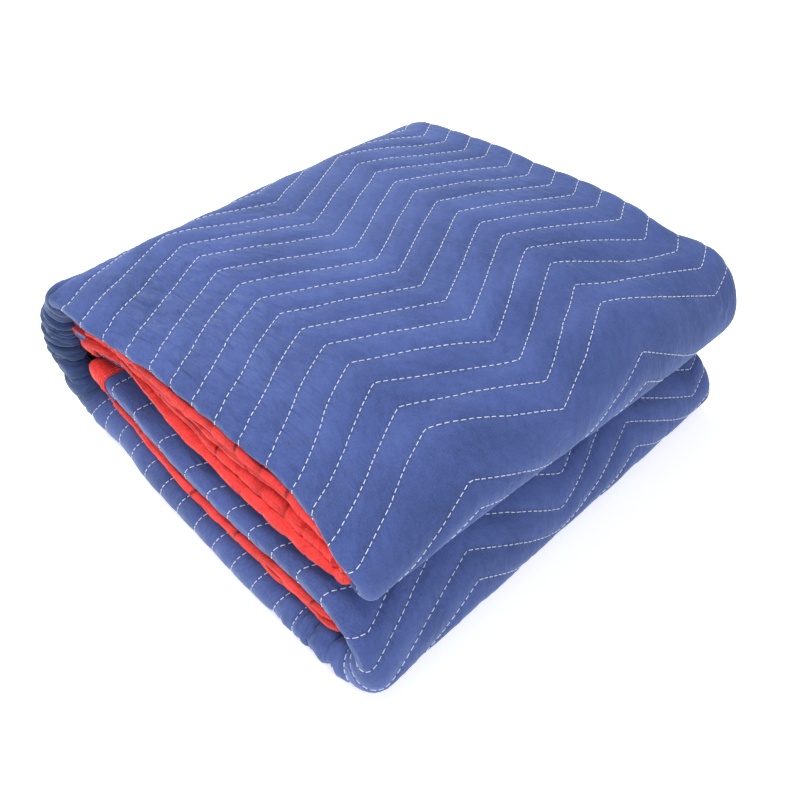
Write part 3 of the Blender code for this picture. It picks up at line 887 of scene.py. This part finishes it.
class Maker:
    """Short ways to add nodes to a new material."""

    def __init__(self, name):
        self.material = bpy.data.materials.new(name)
        self.material.use_nodes = True
        self.nodes, self.links = self.material.node_tree.nodes, self.material.node_tree.links
        self.finish = self.nodes["Principled BSDF"]

    def settings(self, **values):
        """Sets sockets of the shader, each named by its label in small letters."""
        for name, value in values.items():
            label = name.replace("_", " ").title().replace("Ior", "IOR")
            self.finish.inputs[label].default_value = value

    def add(self, kind, source=None, **values):
        """A new node with values at named sockets and a source at its first one."""
        node = self.nodes.new("ShaderNode" + kind)
        for name, value in values.items():
            node.inputs[name].default_value = value
        if source is not None:
            self.links.new(source, node.inputs[0])
        return node

    def uv(self):
        node = self.add("UVMap")
        node.uv_map = "cloth"
        return node.outputs["UV"]

    def part(self, vector, axis):
        return self.add("SeparateXYZ", vector).outputs[axis]

    def scaled(self, vector, x, y, turn=0.0):
        return self.add("Mapping", vector, Scale=(x, y, 1.0), Rotation=(0.0, 0.0, turn)).outputs[0]

    def noise(self, vector, scale, detail=3.0, distortion=0.0):
        node = self.add("TexNoise", vector, Scale=scale, Detail=detail, Distortion=distortion)
        return node.outputs["Fac"]

    def math(self, operation, a, b=0.0, limit=False):
        node = self.add("Math")
        node.operation = operation
        node.use_clamp = limit
        for socket, value in zip(node.inputs, (a, b)):
            if isinstance(value, (int, float)):
                socket.default_value = value
            else:
                self.links.new(value, socket)
        return node.outputs[0]

    def product(self, a, b):
        return self.math("MULTIPLY", a, b)

    def minus(self, a, b):
        return self.math("SUBTRACT", a, b)

    def within(self, value, span):
        """1 inside a span, with a soft edge."""
        low, high, soft = span
        up = self.math("DIVIDE", self.minus(value, low), soft, limit=True)
        down = self.math("DIVIDE", self.minus(high, value), soft, limit=True)
        return self.product(up, down)

    def sum(self, *terms):
        """Adds terms, each a value and how much of it."""
        total = 0.0
        for value, amount in terms:
            total = self.math("ADD", total, self.product(value, amount))
        return total

    def ridged(self, value):
        """Turns noise around 0.5 into sharp ridges, 1 at a ridge."""
        off = self.math("ABSOLUTE", self.minus(value, 0.5))
        return self.math("SUBTRACT", 1.0, self.product(off, 4.0), limit=True)

    def ramp(self, value, *stops):
        node = self.add("ValToRGB", value)
        elements = node.color_ramp.elements
        while len(elements) < len(stops):
            elements.new(0.5)
        for element, (place, colour) in zip(elements, stops):
            element.position = place
            element.color = (*colour, 1.0)
        return node.outputs["Color"]

    def colour(self, value):
        self.links.new(value, self.finish.inputs["Base Color"])

    def height(self, value):
        """A bump whose height is in metres."""
        node = self.add("Bump", Strength=1.0, Distance=1.0)
        self.links.new(value, node.inputs["Height"])
        self.links.new(node.outputs["Normal"], self.finish.inputs["Normal"])


# Where shade is painted on the cloth in the left turn, below the lip of the top, along and over the
# cloth: first, last, soft edge.
PAINTED_SHADE_ALONG = (
    length_of(TURN_START + 0.20 * LEG_LENGTHS["left_turn"]) - CUT_ZERO,
    length_of(BOTTOM_START + 0.02) - CUT_ZERO,
    0.040,
)
PAINTED_SHADE_OVER = (B2_START - 0.045, B2_START + 0.010, 0.012)

# Where fans of fine wrinkles lie on the front left of the top.
FANS_ALONG = (0.060, 0.340, 0.040)
FANS_OVER = (-0.300, -0.090, 0.060)

# Where painted shadow of a pocket lies on a tape: off a stitched line, and down the tape.
POCKET_SHADOW_WIDTH = (-1.0, 0.0020, 0.0016)
POCKET_SHADOW_DEPTH = (0.0020, 0.0120, 0.0030)

# The darkest stop of BLUES is reached mostly where painted shade darkens the cloth, and that of REDS
# where painted shadow darkens a pocket.
BLUES = ((0.24, (0.018, 0.036, 0.105)), (0.50, (0.053, 0.083, 0.252)), (0.68, (0.075, 0.117, 0.328)))
REDS = ((0.16, (0.26, 0.010, 0.012)), (0.46, (0.73, 0.038, 0.034)), (0.66, (0.88, 0.062, 0.052)))
WHITES = ((0.3, (0.46, 0.51, 0.68)), (0.6, (0.70, 0.74, 0.86)))
THREAD_REDS = ((0.3, (0.66, 0.045, 0.040)), (0.6, (0.90, 0.110, 0.090)))


def cloth_material():
    """Royal blue cloth, with fine puckers along the stitched lines and fans of wrinkles, and painted
    shade beside the stitched lines and in the left turn.
    """
    make = Maker("blue_cloth")
    make.settings(roughness=0.80, specular_ior_level=0.22)
    make.settings(sheen_weight=0.30, sheen_roughness=0.42, sheen_tint=(0.56, 0.74, 1.0, 1.0))
    uv = make.uv()
    along, over = make.part(uv, "X"), make.part(uv, "Y")
    off_line = make.math("PINGPONG", make.math("DIVIDE", along, LINE), 0.5)
    near = make.math("POWER", make.minus(1.0, make.product(off_line, 2.0)), 2.0)
    missing = make.math("COMPARE", along, MISSING_LINE * LINE)
    missing.node.inputs[2].default_value = LINE / 2
    near = make.product(near, make.minus(1.0, missing))
    painted_shade = make.product(make.within(along, PAINTED_SHADE_ALONG), make.within(over, PAINTED_SHADE_OVER))
    patches = make.noise(uv, 13.0, 4.0)
    mottle = make.noise(uv, 120.0, 3.0)
    fibres = make.noise(uv, 700.0, 2.0)
    tone = make.sum((patches, 0.45), (mottle, 0.20), (fibres, 0.35))
    # painted shade: the colour is darker right beside each stitched line, in its groove
    tone = make.minus(tone, make.product(make.math("POWER", near, 8.0), 0.13))
    # painted shade: the cloth's colour is darkened in the left turn, below the lip of the top
    tone = make.minus(tone, make.product(painted_shade, 0.24))
    make.colour(make.ramp(tone, *BLUES))

    puckers = make.ridged(make.noise(make.scaled(uv, 45.0, 190.0), 1.0, 2.0, 0.4))
    crumple = make.noise(make.scaled(uv, 70.0, 130.0, -0.3), 1.0, 2.0, 0.6)
    fans = make.noise(make.scaled(uv, 34.0, 120.0, 0.45), 1.0, 1.0, 0.3)
    fan_zone = make.product(make.within(along, FANS_ALONG), make.within(over, FANS_OVER))
    where = make.math("MULTIPLY", make.minus(make.noise(uv, 9.0, 2.0), 0.38), 5.0, limit=True)
    make.height(make.sum(
        (make.product(puckers, near), 0.00110),
        (make.product(fans, make.math("ADD", fan_zone, 0.12)), 0.00550),
        (make.product(crumple, make.math("ADD", where, 0.35)), 0.00150),
        (mottle, 0.00060),
        (fibres, 0.00022),
    ))
    return make.material


def tape_material():
    """Bright red woven tape, with small creases darkened by painted shade, and painted shadow in a few
    pockets at the stitched lines.
    """
    make = Maker("red_tape")
    make.settings(roughness=0.68, specular_ior_level=0.28)
    make.settings(sheen_weight=0.12, sheen_roughness=0.4, sheen_tint=(1.0, 0.6, 0.5, 1.0))
    uv = make.uv()
    along, deep = make.part(uv, "X"), make.part(uv, "Y")
    off_line = make.math("PINGPONG", make.math("DIVIDE", along, LINE), 0.5)
    off_line = make.product(off_line, LINE)
    pocket_shadow = make.product(make.within(off_line, POCKET_SHADOW_WIDTH), make.within(deep, POCKET_SHADOW_DEPTH))
    some = make.math("MULTIPLY", make.minus(make.noise(uv, 38.0, 1.0), 0.47), 7.0, limit=True)
    pocket_shadow = make.product(pocket_shadow, some)
    patches = make.noise(uv, 70.0, 4.0)
    weave = make.noise(uv, 900.0, 2.0)
    creases = make.ridged(make.noise(make.scaled(uv, 160.0, 45.0, 0.4), 1.0, 3.0, 0.8))
    long_folds = make.ridged(make.noise(make.scaled(uv, 16.0, 330.0, 0.02), 1.0, 1.5, 0.5))
    # painted shade: the colour is slightly darker along the creases
    tone = make.sum((patches, 0.45), (weave, 0.40), (creases, -0.06))
    # painted shadow: the tape's colour is darker in a few pockets by the stitched lines
    tone = make.minus(make.math("ADD", tone, 0.06), make.product(pocket_shadow, 0.34))
    make.colour(make.ramp(tone, *REDS))
    make.height(make.sum(
        (creases, -0.00035),
        (long_folds, -0.00160),
        (patches, 0.00070),
        (weave, 0.00018),
    ))
    return make.material


def thread_material(name, colours):
    """Sewing thread."""
    make = Maker(name)
    make.settings(roughness=0.6, sheen_weight=0.2)
    place = make.add("TexCoord").outputs["Object"]
    make.colour(make.ramp(make.noise(place, 500.0), *colours))
    return make.material


# The photograph's camera.
CAMERA_AZIMUTH = math.radians(44.73)
CAMERA_ELEVATION = math.radians(41.92)
CAMERA_ROLL = math.radians(0.32)
CAMERA_TARGET = Vector((0.14214 - CENTRE_X, -0.12641 - CENTRE_Y, 0.17589))
CAMERA_DISTANCE = 0.65122
CAMERA_LENS = 38.07


def add_camera():
    az, el = CAMERA_AZIMUTH, CAMERA_ELEVATION
    back = Vector((math.sin(az) * math.cos(el), -math.cos(az) * math.cos(el), math.sin(el)))
    right = Vector((math.cos(az), math.sin(az), 0.0))
    up = back.cross(right)
    across_x = right * math.cos(CAMERA_ROLL) + up * math.sin(CAMERA_ROLL)
    across_y = up * math.cos(CAMERA_ROLL) - right * math.sin(CAMERA_ROLL)
    turn = Matrix((across_x, across_y, back)).transposed().to_4x4()
    data = bpy.data.cameras.new("camera")
    data.lens = CAMERA_LENS
    data.sensor_width = 36.0
    camera = placed("camera", data)
    camera.matrix_world = Matrix.Translation(CAMERA_TARGET + back * CAMERA_DISTANCE) @ turn
    bpy.context.scene.camera = camera


FLOOR_REACH = 6.0
FLOOR_GLOW = 0.45  # keeps the floor as white as the photograph's ground


def add_floor():
    sides = ((-1, -1), (1, -1), (1, 1), (-1, 1))
    corners = [(x * FLOOR_REACH, y * FLOOR_REACH, 0.0) for x, y in sides]
    floor = mesh_object("floor", corners, [(0, 1, 2, 3)])
    make = Maker("pale_floor")
    make.settings(base_color=(0.93, 0.93, 0.94, 1.0), roughness=0.9)
    make.settings(emission_color=(1.0, 1.0, 1.0, 1.0), emission_strength=FLOOR_GLOW)
    floor.data.materials.append(make.material)


# Name, place, target, size, power and colour of each soft light.
LIGHTS = (
    ("key", (-0.8, -0.5, 2.0), (0.0, 0.0, 0.1), 0.8, 41.0, (1.0, 0.99, 0.97)),
    ("fill", (1.5, -0.9, 1.1), (0.0, 0.0, 0.1), 1.2, 17.0, (0.95, 0.97, 1.0)),
    ("rim", (-1.5, 0.7, 0.8), (-0.1, 0.1, 0.15), 1.0, 9.0, (0.93, 0.97, 1.0)),
)


def add_light(name, place, target, size, power, colour):
    data = bpy.data.lights.new(name, "AREA")
    data.shape = "SQUARE"
    data.size = size
    data.energy = power
    data.color = colour
    lamp = placed(name, data)
    lamp.location = place
    lamp.rotation_euler = (Vector(target) - Vector(place)).to_track_quat("-Z", "Y").to_euler()


def add_world():
    world = bpy.data.worlds.new("studio")
    bpy.context.scene.world = world
    world.use_nodes = True
    sky = world.node_tree.nodes["Background"]
    sky.inputs["Color"].default_value = (0.97, 0.98, 1.0, 1.0)
    sky.inputs["Strength"].default_value = 0.50
    bpy.context.scene.view_settings.view_transform = "Standard"


def dress(piece, material, slot, *nodes):
    """Gives a piece its material and hides the nodes of the solid it stands for. slot is not used."""
    piece.data.materials.append(material)
    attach(piece, "root")
    if nodes:
        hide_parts(*nodes)


EDGE_SLACK = 0.0005


def edge_rows(name, from_edge):
    """Rows under the tape of a side edge, from the edge inwards."""
    rows = [(from_edge(share), j) for j, (kind, share, _) in enumerate(ROWS) if kind == name]
    return [j for share, j in sorted(rows) if share * STRETCHES[name] < BINDING_WIDTH]


def end_columns(lengths):
    """Columns under the tape of an end, from the edge inwards."""
    columns = [i for i, length in enumerate(lengths) if length < BINDING_WIDTH + EDGE_SLACK]
    return sorted(columns, key=lambda i: lengths[i])


def main():
    add_camera()
    cloth = Cloth()
    side_a = edge_rows("a1", lambda share: share)
    side_b = edge_rows("b1", lambda share: 1 - share)
    end_a = end_columns(COLUMN_LENGTH)
    end_b = end_columns(CUT_LENGTH - COLUMN_LENGTH)

    body = panel(cloth)
    dress(body, cloth_material(), "quilted_cloth", "panel")
    bindings = {
        "binding_side_a": side_binding(cloth, "side_tape_a", side_a, 41),
        "binding_side_b": side_binding(cloth, "side_tape_b", side_b, 51),
        "binding_end_a": end_binding(cloth, "end_tape_a", end_a, 61),
        "binding_end_b": end_binding(cloth, "end_tape_b", end_b, 71),
    }
    red = tape_material()
    for node, piece in bindings.items():
        dress(piece, red, "binding", node)
    thread = quilting(cloth)
    dress(thread, thread_material("white_thread", WHITES), "thread")
    seams = tape_stitches(cloth, (end_a, end_b), (side_a, side_b))
    dress(seams, thread_material("red_thread", THREAD_REDS), "thread")

    add_floor()
    add_world()
    for light in LIGHTS:
        add_light(*light)


main()
